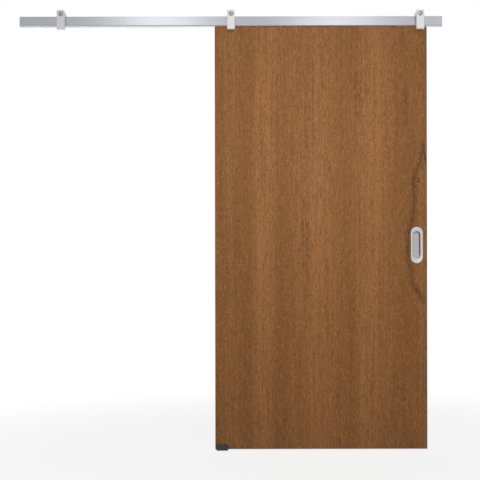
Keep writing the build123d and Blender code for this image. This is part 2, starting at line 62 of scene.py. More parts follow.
class Signal:
    """A number in a node tree. Arithmetic on it adds Math nodes."""

    def __init__(self, plan, socket):
        self.plan = plan
        self.socket = socket

    def math(self, operation, *values):
        return self.plan.signal("ShaderNodeMath", {"operation": operation}, dict(enumerate(values)))

    def __add__(self, other):
        return self.math("ADD", self, other)

    def __sub__(self, other):
        return self.math("SUBTRACT", self, other)

    def __rsub__(self, other):
        return self.math("SUBTRACT", other, self)

    def __mul__(self, other):
        return self.math("MULTIPLY", self, other)

    def __truediv__(self, other):
        return self.math("DIVIDE", self, other)

    __radd__ = __add__
    __rmul__ = __mul__

    def size(self):
        return self.math("ABSOLUTE", self)

    def most(self, other):
        return self.math("MAXIMUM", self, other)

    def rise(self, low, high):
        """0 below low, 1 above high and smooth between them; falls instead where low is above high."""
        return self.plan.signal(
            "ShaderNodeMapRange",
            {"interpolation_type": "SMOOTHSTEP"},
            {"Value": self, "From Min": low, "From Max": high},
        )


class Plan:
    """A node tree that is written one node at a time."""

    def node(self, kind, settings=None, inputs=None):
        """Adds a node, makes its settings and then sets or links its inputs."""
        made = self.tree.nodes.new(kind)
        for name, value in (settings or {}).items():
            if name == "points":
                curve = made.mapping.curves[0]
                curve.points[0].location, curve.points[1].location = value[0], value[-1]
                for point in value[1:-1]:
                    curve.points.new(*point)
                made.mapping.update()
            else:
                setattr(made, name, value)
        for name, value in (inputs or {}).items():
            socket = made.inputs[name]
            value = value.socket if isinstance(value, Signal) else value
            if isinstance(value, bpy.types.NodeSocket):
                self.tree.links.new(value, socket)
            elif socket.type == "RGBA":
                socket.default_value = (*value[:3], 1)
            else:
                socket.default_value = value
        return made

    def signal(self, kind, settings=None, inputs=None):
        return Signal(self, self.node(kind, settings, inputs).outputs[0])


class Finish(Plan):
    """A procedural material on object coordinates, in metres."""

    def __init__(self, name):
        self.material = bpy.data.materials.new(name)
        self.material.use_nodes = True
        self.tree = self.material.node_tree
        self.tree.nodes.clear()
        self.place = self.node("ShaderNodeTexCoord").outputs["Object"]
        axes = self.node("ShaderNodeSeparateXYZ", {}, {0: self.place}).outputs
        self.x, self.y, self.z = (Signal(self, axis) for axis in axes)

    def noise(self, density, detail=2, roughness=0.5, seed=0, place=None):
        """Noise with about density features in each metre along x, y and z."""
        turned = self.node(
            "ShaderNodeMapping",
            {},
            {"Vector": place or self.place, "Scale": density, "Location": (7.3 * seed, 3.1 * seed, 5.7 * seed)},
        )
        return self.signal(
            "ShaderNodeTexNoise",
            {},
            {"Vector": turned.outputs[0], "Scale": 1, "Detail": detail, "Roughness": roughness},
        )

    def mix(self, share, first, second):
        """The first colour with a share of the second."""
        return self.node("ShaderNodeMix", {"data_type": "RGBA"}, {0: share, 6: first, 7: second}).outputs[2]

    def shade(self, colour, tone):
        """The colour, made darker or lighter by a tone round 1."""
        return self.node("ShaderNodeVectorMath", {"operation": "SCALE"}, {0: colour, "Scale": tone}).outputs[0]

    def spot(self, x, z, wide, high):
        """1 in the middle of an upright oval and 0 past its edge."""
        across = (self.x - x) / wide
        up = (self.z - z) / high
        return (1 - across * across - up * up).most(0)

    def surface(self, colour, roughness, metallic=0, height=None, depth=0, **fixed):
        """Ends the material: height is a signal whose full range stands depth metres proud."""
        inputs = {"Base Color": colour, "Roughness": roughness, "Metallic": metallic}
        inputs.update({name.replace("_", " "): value for name, value in fixed.items()})
        if height is not None:
            inputs["Normal"] = self.node("ShaderNodeBump", {}, {"Height": height, "Distance": depth}).outputs[0]
        shader = self.node("ShaderNodeBsdfPrincipled", {}, inputs)
        self.node("ShaderNodeOutputMaterial", {}, {"Surface": shader.outputs[0]})
        return self.material


# ---------------------------------------------------------------- settings


def tint(name, description, default):
    return FloatVectorProperty(name=name, description=description, subtype="COLOR", default=default, min=0, max=1)


def length(name, description, default):
    return FloatProperty(name=name, description=description, unit="LENGTH", precision=5, default=default, min=0.0001)


def power(name, description, default):
    return FloatProperty(name=name, description=description, unit="POWER", default=default, min=0)


class SLIDINGDOOR_PG_finishes(bpy.types.PropertyGroup):
    """Colours of the door and its hardware."""

    wood_light: tint("Light Wood", "Palest streaks of the leaf", (0.375, 0.172, 0.066))
    wood_mid: tint("Wood", "Main colour of the leaf", (0.276, 0.115, 0.034))
    wood_dark: tint("Dark Wood", "Darkest bands of the leaf", (0.155, 0.064, 0.02))
    wood_stain: tint("Stain", "Knots, cracks and mineral streaks", (0.062, 0.028, 0.011))
    rail: tint("Rail", "Anodised aluminium of the rail", (0.372, 0.386, 0.408))
    cover: tint("Clip Cover", "Satin silver coating of the clips", (0.68, 0.68, 0.69))
    nickel: tint("Pull", "Satin nickel of the flush pulls", (0.57, 0.57, 0.574))
    guide: tint("Floor Guide", "Dark grey of the floor guide", (0.026, 0.026, 0.028))


class SLIDINGDOOR_PG_fasteners(bpy.types.PropertyGroup):
    """Sizes of the turned and threaded pieces."""

    bolt_head: length("Wall Bolt Head", "Thickness of the head", 0.007)
    bolt_shank: length("Wall Bolt Shank", "Radius of the plain shank", 0.005)
    bolt_shank_reach: length("Wall Bolt Shank Reach", "Plain shank beyond the wall", 0.002)
    bolt_thread: length("Wall Bolt Thread", "Radius over the thread's crests", 0.0048)
    bolt_pitch: length("Wall Bolt Pitch", "Rise of the thread in one turn", 0.0015)
    bolt_socket: length("Wall Bolt Socket", "Socket across its flats", 0.008)
    thread_depth: length("Thread Depth", "Crest to root of the metal threads", 0.0004)
    hanger_thread: length("Hanger Thread", "Radius over the hanger bolt's crests", 0.004)
    hanger_pitch: length("Hanger Pitch", "Rise of the hanger bolt's thread in one turn", 0.00125)
    axle: length("Axle", "Radius of the roller axles", 0.003)
    balls: IntProperty(name="Balls", description="Balls in each bearing", default=9, min=5, max=14)
    bumper_stem: length("Bumper Stem", "Stem that is pressed into the track stop", 0.009)
    floor_shank: length("Floor Screw Shank", "Radius of the plain shank", 0.0018)
    floor_thread: length("Floor Screw Thread", "Radius over the thread's crests", 0.00225)
    floor_pitch: length("Floor Screw Pitch", "Rise of the thread in one turn", 0.0018)
    floor_socket: length("Floor Screw Socket", "Socket across its flats", 0.003)
    sides: IntProperty(name="Sides", description="Segments round a turned piece", default=48, min=12, max=96)


class SLIDINGDOOR_PG_studio(bpy.types.PropertyGroup):
    """Camera, floor and lamps."""

    eye: FloatVectorProperty(
        name="Camera", description="Where the camera stands", subtype="TRANSLATION", default=(0.044, -3.6825, -1.1045)
    )
    lens: FloatProperty(name="Lens", description="Focal length in millimetres", default=54, min=10)
    roll: FloatProperty(name="Roll", description="Turn about the view", subtype="ANGLE", default=math.radians(0.1))
    floor: tint("Floor", "Pale floor", (0.48, 0.48, 0.48))
    overhead: power("Overhead Lamp", "Power of the lamp above", 33)
    front: power("Front Lamp", "Power of the lamp in front", 24)
    behind: power("Back Lamp", "Power of the lamp that lights the rear face", 50)
    panel: power("Panel Lamps", "Power of each panel that the rail mirrors", 4.7)
    fill: FloatProperty(name="Fill", description="Strength of the light from all round", default=0.4, min=0)


# ---------------------------------------------------------------- finishes


# The long crack down the front face, from its top, as (height, place across), and its two side branches
CRACK = (
    (-0.60, 0.966), (-0.665, 0.962), (-0.71, 0.955), (-0.78, 0.927), (-0.845, 0.918), (-0.90, 0.925),
    (-0.96, 0.918), (-1.015, 0.912), (-1.085, 0.894), (-1.195, 0.892), (-1.228, 0.902), (-1.285, 0.903),
    (-1.33, 0.917), (-1.357, 0.935), (-1.40, 0.958), (-1.44, 0.97),
)  # fmt: skip
CRACK_BRANCHES = (((-0.61, 0.962), (-0.66, 0.972), (-0.73, 0.984)), ((-1.375, 0.95), (-1.395, 0.968), (-1.41, 0.98)))
# How wide the crack, its branches and the stain round it are
CRACK_WIDTH, BRANCH_WIDTH, HALO_WIDTH = 0.0055, 0.005, 0.03
# The heights between which the crack is nearly closed
CLOSED_TOP, CLOSED_FOOT = -1.2, -1.3
# Knots and mineral streaks, as (place across, height, half its width, half its height)
KNOTS = ((0.941, -0.802, 0.014, 0.017), (0.934, -0.838, 0.012, 0.013), (0.933, -1.357, 0.012, 0.015))
STREAKS = (
    (0.64, -0.36, 0.024, 0.19),
    (0.877, -0.42, 0.016, 0.15),
    (0.372, -1.11, 0.022, 0.30),
    (0.79, -0.62, 0.014, 0.10),
)
# Pale bands up the leaf, as (place across, half its width)
PALE_BANDS = ((0.165, 0.07), (0.455, 0.1), (0.69, 0.09))
# The strip of darker wood along the leaf's side edges
EDGE_STRIP = 0.0045
# The pull's cup: the radius of its round ends, the length of its straight sides and the radius round its floor
CUP_RADIUS, CUP_STRAIGHT, CUP_FLOOR = 0.018, 0.102, 0.003
# Marks in each metre of turned steel
TOOL_MARKS = (900, 900, 900)
# Room round a shaft in its bore, and the plain length before a metal thread
RUNNING, THREAD_LEAD = 0.00005, 0.002
# The floor's half width, and the angle beyond which an edge stays sharp
FLOOR_SIZE, SHARP = 8, math.radians(32)


def cleft(wood, points, width):
    """1 along a crack through points, fading to 0 at a ragged edge about width away."""
    heights, places = zip(*points)
    low, high = min(heights), max(heights)
    left, right = min(places), max(places)
    line = wood.node(
        "ShaderNodeFloatCurve",
        {"points": sorted(((z - low) / (high - low), (x - left) / (right - left)) for z, x in points)},
        {"Value": (wood.z - low) / (high - low)},
    ).outputs[0]
    ragged = (wood.noise((70, 70, 45), detail=4, roughness=0.7, seed=9) - 0.5) * 0.022
    miss = (wood.x + ragged - (Signal(wood, line) * (right - left) + left)).size()
    ends = wood.z.rise(low, low + 0.03) * wood.z.rise(high, high - 0.03)
    return miss.rise(width, width * 0.15) * ends


def wood_finish(look):
    """Oiled wood: upright grain, open pores, flecks, soft bands, mineral streaks, knots and one long crack."""
    wood = Finish("oiled_wood")
    wander = (wood.noise((2.2, 2.2, 0.9), detail=2) - 0.5) * 0.03
    grain_x = wood.x + wander
    along = wood.node("ShaderNodeCombineXYZ", {}, {0: grain_x, 1: wood.y, 2: wood.z}).outputs[0]

    bands = wood.noise((9, 5, 0.35), detail=3, roughness=0.55, seed=1, place=along)
    lines = wood.noise((95, 60, 1.6), detail=4, roughness=0.6, seed=2, place=along)
    mottle = wood.noise((38, 30, 13), detail=3, roughness=0.6, seed=3, place=along)
    dashes = wood.noise((330, 300, 36), detail=4, roughness=0.7, seed=4, place=along)
    hairs = wood.noise((1300, 1200, 70), detail=2, roughness=0.5, seed=5, place=along)
    flecks = wood.noise((300, 280, 44), detail=4, roughness=0.7, seed=6, place=along)
    grit = wood.noise((150, 150, 115), detail=2, roughness=0.9, seed=7, place=along)

    pale = sum((wood.spot(x, -1.1, wide, 3.0).rise(0, 1) * 0.3 for x, wide in PALE_BANDS), bands)
    colour = wood.mix(pale.rise(0.15, 1.0), look.wood_dark, look.wood_light)
    colour = wood.mix(0.45, colour, look.wood_mid)
    colour = wood.mix(lines.rise(0.42, 0.7) * 0.5, colour, look.wood_dark)
    colour = wood.mix(flecks.rise(0.48, 0.68) * 0.65, colour, look.wood_light)
    pores = dashes.rise(0.48, 0.64)
    colour = wood.mix(pores * 0.75, colour, look.wood_dark)
    colour = wood.mix(hairs.rise(0.52, 0.72) * 0.4, colour, look.wood_stain)

    front = wood.y.rise((LEAF_LO.y + LEAF_HI.y) / 2, LEAF_LO.y + 0.004)
    smudges = sum((wood.spot(*streak) for streak in STREAKS[1:]), wood.spot(*STREAKS[0]))
    stain = smudges.rise(0, 0.7) * dashes.rise(0.46, 0.62) * 0.5
    broken = wood.noise((90, 90, 30), detail=3, roughness=0.7, seed=8).rise(0.3, 0.55)
    closed = wood.z.rise(CLOSED_TOP + 0.04, CLOSED_TOP) * wood.z.rise(CLOSED_FOOT - 0.04, CLOSED_FOOT)
    crack = cleft(wood, CRACK, CRACK_WIDTH) * (0.3 + 0.7 * broken) * (1 - closed * 0.6)
    for branch in CRACK_BRANCHES:
        crack = crack.most(cleft(wood, branch, BRANCH_WIDTH))
    gnarl = wood.noise((150, 150, 90), detail=3, roughness=0.6, seed=10).rise(0.38, 0.6)
    for knot in KNOTS:
        crack = crack.most(wood.spot(*knot).rise(0, 0.5) * gnarl)
    halo = cleft(wood, CRACK, HALO_WIDTH) * (dashes.rise(0.3, 0.6) * 0.45)
    colour = wood.mix((stain + (crack * 0.92).most(halo)) * front, colour, look.wood_stain)

    edge = (wood.x - (LEAF_LO.x + LEAF_HI.x) / 2).size() - (LEAF_HI.x - LEAF_LO.x) / 2
    strip = edge.rise(-EDGE_STRIP, -EDGE_STRIP * 2 / 3)
    colour = wood.mix(strip * 0.45, colour, look.wood_dark)
    colour = wood.shade(colour, 0.33 + mottle * 0.14 + grit * 1.2)
    relief = 1 - pores * 0.25 - crack * front * 0.75
    return wood.surface(colour, 0.5 + pores * 0.15, height=relief, depth=0.0006, Specular_IOR_Level=0.15)


def rail_finish(look):
    """Anodised aluminium, finely brushed along the rail."""
    rail = Finish("anodised_rail")
    lines = rail.noise((5, 900, 1400), detail=3, roughness=0.6)
    cloud = rail.noise((4, 30, 30), detail=2, seed=1)
    colour = rail.shade(look.rail, 0.95 + lines * 0.06 + cloud * 0.04)
    return rail.surface(colour, 0.21 + lines * 0.08, metallic=1, height=lines, depth=0.0000025)


def coated_finish(name, colour, roughness=0.42, metallic=0.1):
    """A satin metallic coating with a faint orange peel and fine flake."""
    coat = Finish(name)
    peel = coat.noise((420, 420, 420), detail=2)
    flake = coat.noise((2600, 2600, 2600), detail=1, seed=1)
    tone = 0.97 + flake * 0.06
    return coat.surface(
        coat.shade(colour, tone), roughness + peel * 0.06, metallic=metallic, height=peel, depth=0.00002
    )


def plated_finish(name, colour, roughness):
    """Plated or ground steel with tool marks and slight staining."""
    steel = Finish(name)
    marks = steel.noise(TOOL_MARKS, detail=3, roughness=0.6)
    stain = steel.noise((70, 70, 70), detail=3, seed=1)
    colour = steel.shade(colour, 0.88 + marks * 0.12 + stain * 0.12)
    return steel.surface(colour, roughness + stain * 0.12, metallic=1, height=marks, depth=0.000008)


def polished_finish(colour, face, seat):
    """Steel polished on the dome of a head, with painted shade round its side and in its socket, and duller down its
    shank under a milder painted shade.
    """
    steel = Finish("polished_bolt")
    marks = steel.noise(TOOL_MARKS, detail=3, roughness=0.6)
    thick = seat - face
    dome = steel.y.rise(face + thick * 0.12, face + thick * 0.01)
    # Painted shade: the head's side and socket fall to 0.15 of the colour, the shank to about two thirds
    bright = dome.most(steel.y.rise(seat, seat + 0.001) * 0.6)
    tone = (0.15 + bright * 0.85) * (0.9 + marks * 0.2)
    return steel.surface(steel.shade(colour, tone), 0.3 - bright * 0.12, metallic=1, height=marks, depth=0.000008)


def nickel_finish(look):
    """Satin nickel, brushed upright, duller on the cup's floor, with painted shade that deepens into the cup, a
    painted shadow on its walls and less of that painted shadow at its foot.
    """
    nickel = Finish("satin_nickel")
    lines = nickel.noise((2200, 2200, 45), detail=3, roughness=0.6)
    cloud = nickel.noise((45, 45, 45), detail=3, seed=1)
    face = (nickel.y - (LEAF_LO.y + LEAF_HI.y) / 2).size() - (LEAF_HI.y - LEAF_LO.y) / 2
    # Painted shade: depth darkens the colour deeper into the cup, and it also makes the surface duller
    depth = face.rise(0.0005, -0.009)
    low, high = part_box("flush_pull_front")
    across = nickel.x - (low.x + high.x) / 2
    up = nickel.z - (low.z + high.z) / 2
    end = (up.size() - CUP_STRAIGHT / 2).most(0)
    square = across * across + end * end
    right, top = across.rise(-0.004, 0.012), (up - CUP_STRAIGHT / 2).rise(-0.004, 0.012)
    # Adding to the ring widens the walls' painted shadow over the floor's edge, at the right and at the top
    ring = square.math("SQRT", square) + right.most(top * 0.9) * 0.0022
    # Painted shadow on the cup's walls, cut to a fifth at the cup's foot as painted light from above
    wall = ring.rise(CUP_RADIUS - CUP_FLOOR, CUP_RADIUS - 0.0005) * face.rise(-0.0008, -0.0022)
    wall = wall * (0.2 + (up + CUP_STRAIGHT / 2).rise(-0.008, 0.01) * 0.8)
    tone = (0.94 + lines * 0.08 + cloud * 0.04) * (1 - depth * 0.2) * (1 - wall * 0.88)
    colour = nickel.shade(look.nickel, tone)
    return nickel.surface(colour, 0.38 + depth * 0.12 + lines * 0.1, metallic=0.6, height=lines, depth=0.000004)


def moulded_finish(name, colour, roughness):
    """Moulded plastic or rubber with a fine pebbled skin."""
    skin = Finish(name)
    pebble = skin.noise((900, 900, 900), detail=2)
    dust = skin.noise((55, 55, 55), detail=3, seed=1)
    return skin.surface(
        skin.shade(colour, 0.85 + dust * 0.2 + pebble * 0.1), roughness + pebble * 0.15, height=pebble, depth=0.00008
    )


def dress(material, *names):
    """Gives CAD nodes a finish."""
    for name in names:
        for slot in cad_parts[name].material_slots:
            slot.material = material


# ---------------------------------------------------------------- pieces


class Rule(Plan):
    """A Geometry Nodes tree with named sizes, ending in one finish."""

    def __init__(self, name, sizes):
        self.tree = bpy.data.node_groups.new(name, "GeometryNodeTree")
        for size, kind in {**sizes, "Finish": "Material"}.items():
            self.tree.interface.new_socket(size, in_out="INPUT", socket_type=f"NodeSocket{kind}")
        self.tree.interface.new_socket("Geometry", in_out="OUTPUT", socket_type="NodeSocketGeometry")
        self.sizes = self.node("NodeGroupInput").outputs

    def __getitem__(self, size):
        return Signal(self, self.sizes[size])

    def end(self, geometry):
        real = self.node("GeometryNodeRealizeInstances", {}, {0: geometry}).outputs[0]
        dressed = self.node("GeometryNodeSetMaterial", {}, {"Geometry": real, "Material": self.sizes["Finish"]})
        self.node("NodeGroupOutput", {}, {0: dressed.outputs[0]})

    def mesh(self, **values):
        """The plain mesh that the rule makes with these sizes."""
        holder = bpy.data.objects.new("holder", bpy.data.meshes.new("holder"))
        bpy.context.scene.collection.objects.link(holder)
        modifier = holder.modifiers.new("rule", "NODES")
        modifier.node_group = self.tree
        for item in self.tree.interface.items_tree:
            if item.in_out == "INPUT":
                modifier[item.identifier] = values[item.name]
        made = bpy.data.meshes.new_from_object(holder.evaluated_get(bpy.context.evaluated_depsgraph_get()))
        bpy.data.objects.remove(holder)
        return made


def thread_rule():
    """A ridge wound up the Z axis from a start height."""
    rule = Rule("thread", {"Crest": "Float", "Depth": "Float", "Pitch": "Float", "Length": "Float", "Start": "Float"})
    middle = rule["Crest"] - rule["Depth"]
    path = rule.node(
        "GeometryNodeCurveSpiral",
        {},
        {
            "Resolution": 20,
            "Rotations": rule["Length"] / rule["Pitch"],
            "Start Radius": middle,
            "End Radius": middle,
            "Height": rule["Length"],
        },
    ).outputs[0]
    upright = rule.node("GeometryNodeSetCurveNormal", {"mode": "Z_UP"}, {"Curve": path}).outputs[0]
    ridge = rule.node("GeometryNodeCurvePrimitiveCircle", {}, {"Resolution": 4, "Radius": rule["Depth"]}).outputs[0]
    wound = rule.node(
        "GeometryNodeCurveToMesh", {}, {"Curve": upright, "Profile Curve": ridge, "Fill Caps": True}
    ).outputs[0]
    lift = rule.node("ShaderNodeCombineXYZ", {}, {"Z": rule["Start"]}).outputs[0]
    rule.end(rule.node("GeometryNodeTransform", {}, {"Geometry": wound, "Translation": lift}).outputs[0])
    return rule


def balls_rule():
    """Bearing balls spaced evenly round the Z axis."""
    rule = Rule("balls", {"Count": "Int", "Track": "Float", "Ball": "Float"})
    ring = rule.node("GeometryNodeMeshCircle", {}, {"Vertices": rule["Count"], "Radius": rule["Track"]}).outputs[0]
    ball = rule.node("GeometryNodeMeshIcoSphere", {}, {"Radius": rule["Ball"], "Subdivisions": 3}).outputs[0]
    rule.end(rule.node("GeometryNodeInstanceOnPoints", {}, {"Points": ring, "Instance": ball}).outputs[0])
    return rule


def hexagon(angle, flats):
    """Distance from the centre to a hexagon's side at an angle."""
    turn = math.radians(60)
    return flats / 2 / math.cos(angle % turn - turn / 2)


def turned(finish, rings, sides, hollow=False):
    """Rings up the Z axis, each (height, radius, flats): flats, where given, cut the circle to a hexagon.

    A hollow piece runs round from its last ring to its first; any other is closed by a flat at each end.
    """
    mesh = bmesh.new()
    loops = []
    for height, radius, *flats in rings:
        loop = []
        for step in range(sides):
            angle = 2 * math.pi * step / sides
            reach = min(radius, hexagon(angle, flats[0])) if flats else radius
            loop.append(mesh.verts.new((reach * math.cos(angle), reach * math.sin(angle), height)))
        loops.append(loop)
    for low, high in zip(loops, loops[1:] + loops[:1] if hollow else loops[1:]):
        for step in range(sides):
            after = (step + 1) % sides
            mesh.faces.new((low[step], low[after], high[after], high[step]))
    if not hollow:
        mesh.faces.new(loops[0])
        mesh.faces.new(loops[-1])
    bmesh.ops.recalc_face_normals(mesh, faces=mesh.faces)
    data = bpy.data.meshes.new("turned")
    mesh.to_mesh(data)
    mesh.free()
    data.materials.append(finish)
    return data


def facing(place, axis):
    """Moves a piece made on the Z axis to a place, with its top along an axis."""
    return Matrix.Translation(place) @ Vector((0, 0, 1)).rotation_difference(Vector(axis)).to_matrix().to_4x4()


def as_piece(name, parts, body, slot, *replaced):
    """Joins (mesh, place) parts into one smooth piece at the origin that rides on a body."""
    joined = bmesh.new()
    finishes = []
    for mesh, place in parts:
        before = len(joined.faces)
        copy = mesh.copy()
        copy.transform(place)
        joined.from_mesh(copy)
        joined.faces.ensure_lookup_table()
        finish = mesh.materials[0]
        if finish not in finishes:
            finishes.append(finish)
        for face in joined.faces[before:]:
            face.material_index = finishes.index(finish)
    data = bpy.data.meshes.new(name)
    joined.to_mesh(data)
    joined.free()
    for finish in finishes:
        data.materials.append(finish)
    data.shade_smooth()
    data.set_sharp_from_angle(angle=SHARP)
    piece = bpy.data.objects.new(name, data)
    bpy.context.scene.collection.objects.link(piece)
    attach(piece, body)
    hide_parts(*replaced)
    return piece


# ---------------------------------------------------------------- operators


class SLIDINGDOOR_OT_leaf(bpy.types.Operator):
    """Finish the leaf in oiled wood"""

    bl_idname = "sliding_door.leaf"
    bl_label = "Leaf"

    def execute(self, context):
        dress(wood_finish(context.scene.door_finishes), "door_leaf")
        return {"FINISHED"}


class SLIDINGDOOR_OT_rail(bpy.types.Operator):
    """Finish the rail, its end caps and what is inside it"""

    bl_idname = "sliding_door.rail"
    bl_label = "Rail"

    def execute(self, context):
        look = context.scene.door_finishes
        dress(rail_finish(look), "rail")
        dress(moulded_finish("end_cap_plastic", (0.5, 0.51, 0.53), 0.4), "rail_cap_left", "rail_cap_right")
        zinc = plated_finish("zinc_plate", (0.44, 0.44, 0.42), 0.35)
        dress(zinc, "track_stop_left", "track_stop_right", *(f"slot_nut_{side}" for side in SIDES))
        black = plated_finish("black_oxide", (0.06, 0.06, 0.065), 0.42)
        dress(black, "stop_screws", "jaw_screws")
        return {"FINISHED"}


class SLIDINGDOOR_OT_clips(bpy.types.Operator):
    """Finish the clips that hold the rail"""

    bl_idname = "sliding_door.clips"
    bl_label = "Clips"

    def execute(self, context):
        look = context.scene.door_finishes
        dress(coated_finish("clip_coating", look.cover), *(f"bracket_cover_{side}" for side in SIDES))
        dress(coated_finish("cast_arm", (0.55, 0.56, 0.58), 0.5, 0.8), *(f"bracket_arm_{side}" for side in SIDES))
        dress(plated_finish("bright_screw", (0.45, 0.45, 0.43), 0.28), "rail_screws")
        return {"FINISHED"}


class SLIDINGDOOR_OT_wall_bolts(bpy.types.Operator):
    """Build the three wall bolts with domed heads, sockets and threads"""

    bl_idname = "sliding_door.wall_bolts"
    bl_label = "Wall Bolts"

    def execute(self, context):
        sizes = context.scene.door_fasteners
        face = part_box("wall_bolt_middle")[0].y
        steel = polished_finish((0.56, 0.55, 0.54), face, face + sizes.bolt_head)
        thread = thread_rule()
        for side in SIDES:
            low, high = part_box(f"wall_bolt_{side}")
            head = (high.x - low.x) / 2
            thick = sizes.bolt_head
            seat = low.y + thick
            reach = high.y - seat
            tail = high.y - sizes.bolt_shank_reach
            core = sizes.bolt_thread - sizes.thread_depth
            rings = [
                (-reach, core * 0.8),
                (-reach + 0.0012, core),
                (-reach + tail, core),
                (-reach + tail, sizes.bolt_shank),
                (0, sizes.bolt_shank),
                (0, head * 0.95),
                (thick * 0.05, head),
                (thick * 0.55, head),
                (thick * 0.75, head * 0.95),
                (thick * 0.9, head * 0.82),
                (thick, head * 0.6),
                (thick, head, sizes.bolt_socket),
                (thick * 0.3, head, sizes.bolt_socket),
                (thick * 0.2, head * 0.2),
            ]
            ridge = thread.mesh(
                Crest=sizes.bolt_thread,
                Depth=sizes.thread_depth,
                Pitch=sizes.bolt_pitch,
                Length=tail - 0.0035,
                Start=THREAD_LEAD - reach,
                Finish=steel,
            )
            place = facing(((low.x + high.x) / 2, seat, (low.z + high.z) / 2), (0, -1, 0))
            bolt = turned(steel, rings, sizes.sides)
            as_piece(f"socket_bolt_{side}", [(bolt, place), (ridge, place)], "frame", "wall_bolt", f"wall_bolt_{side}")
        return {"FINISHED"}


class SLIDINGDOOR_OT_carriages(bpy.types.Operator):
    """Finish the carriages, their axles and their hanger plates"""

    bl_idname = "sliding_door.carriages"
    bl_label = "Carriages"

    def execute(self, context):
        zinc = plated_finish("zinc_hanger", (0.4, 0.4, 0.38), 0.38)
        ground = plated_finish("ground_axle", (0.5, 0.5, 0.51), 0.25)
        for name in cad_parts:
            if name.startswith(("carriage", "hanger_plate", "plate_screws")):
                dress(zinc, name)
            elif name.startswith("axle"):
                dress(ground, name)
        return {"FINISHED"}


class SLIDINGDOOR_OT_hangers(bpy.types.Operator):
    """Build the hanger bolts and lock nuts, with chamfered corners and threads"""

    bl_idname = "sliding_door.hangers"
    bl_label = "Hangers"

    def execute(self, context):
        sizes = context.scene.door_fasteners
        zinc = plated_finish("zinc_bolt", (0.42, 0.42, 0.39), 0.3)
        thread = thread_rule()
        for side in ("left", "right"):
            low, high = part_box(f"hanger_bolt_{side}")
            centre = Vector(((low.x + high.x) / 2, (low.y + high.y) / 2, low.z))
            flats = high.y - low.y
            corner = (high.x - low.x) / 2
            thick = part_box(f"hanger_plate_{side}")[0].z - low.z
            reach = high.z - low.z
            crest = sizes.hanger_thread
            core = crest - sizes.thread_depth
            rings = [
                (0, flats / 2 * 0.93),
                (thick * 0.12, corner * 0.94, flats),
                (thick * 0.3, corner, flats),
                (thick, corner, flats),
                (thick, crest),
                (thick + 0.001, crest),
                (thick + 0.001, core),
                (reach - 0.001, core),
                (reach, core * 0.8),
            ]
            ridge = thread.mesh(
                Crest=crest,
                Depth=sizes.thread_depth,
                Pitch=sizes.hanger_pitch,
                Length=reach - thick - THREAD_LEAD * 2,
                Start=thick + THREAD_LEAD,
                Finish=zinc,
            )
            place = facing(centre, (0, 0, 1))
            bolt = turned(zinc, rings, sizes.sides)
            as_piece(f"hex_bolt_{side}", [(bolt, place), (ridge, place)], "door", "zinc_steel", f"hanger_bolt_{side}")

            low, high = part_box(f"hanger_nut_{side}")
            thick = high.z - low.z
            bore = crest + RUNNING
            rings = [
                (0, bore + 0.0004),
                (0, flats / 2 * 0.93),
                (thick * 0.15, corner * 0.94, flats),
                (thick * 0.3, corner, flats),
                (thick * 0.7, corner, flats),
                (thick * 0.85, corner * 0.94, flats),
                (thick, flats / 2 * 0.93),
                (thick, bore + 0.0004),
                (thick * 0.9, bore),
                (thick * 0.1, bore),
            ]
            nut = turned(zinc, rings, sizes.sides, hollow=True)
            place = facing((centre.x, centre.y, low.z), (0, 0, 1))
            as_piece(f"lock_nut_{side}", [(nut, place)], "door", "zinc_steel", f"hanger_nut_{side}")
        return {"FINISHED"}


class SLIDINGDOOR_OT_rollers(bpy.types.Operator):
    """Build each roller: a crowned tyre on a ball bearing"""

    bl_idname = "sliding_door.rollers"
    bl_label = "Rollers"

    def execute(self, context):
        sizes = context.scene.door_fasteners
        nylon = moulded_finish("nylon_tyre", (0.7, 0.69, 0.65), 0.42)
        ground = plated_finish("ground_steel", (0.5, 0.5, 0.51), 0.22)
        brass = plated_finish("brass_cage", (0.5, 0.36, 0.16), 0.35)
        balls = balls_rule()
        for name in sorted(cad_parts):
            if not name.startswith("roller_bearing"):
                continue
            place_name = name.removeprefix("roller_bearing_")
            low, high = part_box(name)
            outer = (high.z - low.z) / 2
            wide = high.y - low.y
            place = facing(((low.x + high.x) / 2, low.y, (low.z + high.z) / 2), (0, 1, 0))
            bore = sizes.axle + RUNNING
            track = (outer + bore) / 2
            lip = (outer - bore) * 0.27
            thin, inset = 0.0005, wide * 0.32
            races = [
                turned(ground, self.race(outer - lip, outer, wide), sizes.sides, hollow=True),
                turned(ground, self.race(bore, bore + lip, wide), sizes.sides, hollow=True),
                turned(brass, self.race(track - thin, track + thin, wide * 0.35, inset), sizes.sides, hollow=True),
            ]
            ring = balls.mesh(Count=sizes.balls, Track=track, Ball=(outer - bore) * 0.255, Finish=ground)
            parts = [(race, place) for race in races]
            parts.append((ring, place @ Matrix.Translation((0, 0, wide / 2))))
            as_piece(f"ball_bearing_{place_name}", parts, f"roller_{place_name}", "roller_steel", name)

            low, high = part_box(f"roller_tyre_{place_name}")
            tread = (high.z - low.z) / 2
            crown, ease, rim = 0.0007, 0.0006, 0.001
            side = tread - crown
            near = [
                (ease, outer),
                (0, outer + ease),
                (0, outer + ease + rim),
                (ease, outer + ease * 2 + rim),
                (ease, side - ease - rim),
                (0, side - rim),
                (0, side),
                (ease, tread),
            ]
            far = [(wide - height, radius) for height, radius in reversed(near)]
            tyre = turned(nylon, near + far, sizes.sides, hollow=True)
            as_piece(
                f"crowned_tyre_{place_name}",
                [(tyre, place)],
                f"roller_{place_name}",
                "roller_nylon",
                f"roller_tyre_{place_name}",
            )
        return {"FINISHED"}

    def race(self, inner, outer, wide, start=0):
        """A ring with eased edges."""
        ease = 0.0002
        near = [(ease, inner), (0, inner + ease), (0, outer - ease), (ease, outer)]
        far = [(wide - height, radius) for height, radius in reversed(near)]
        return [(start + height, radius) for height, radius in near + far]


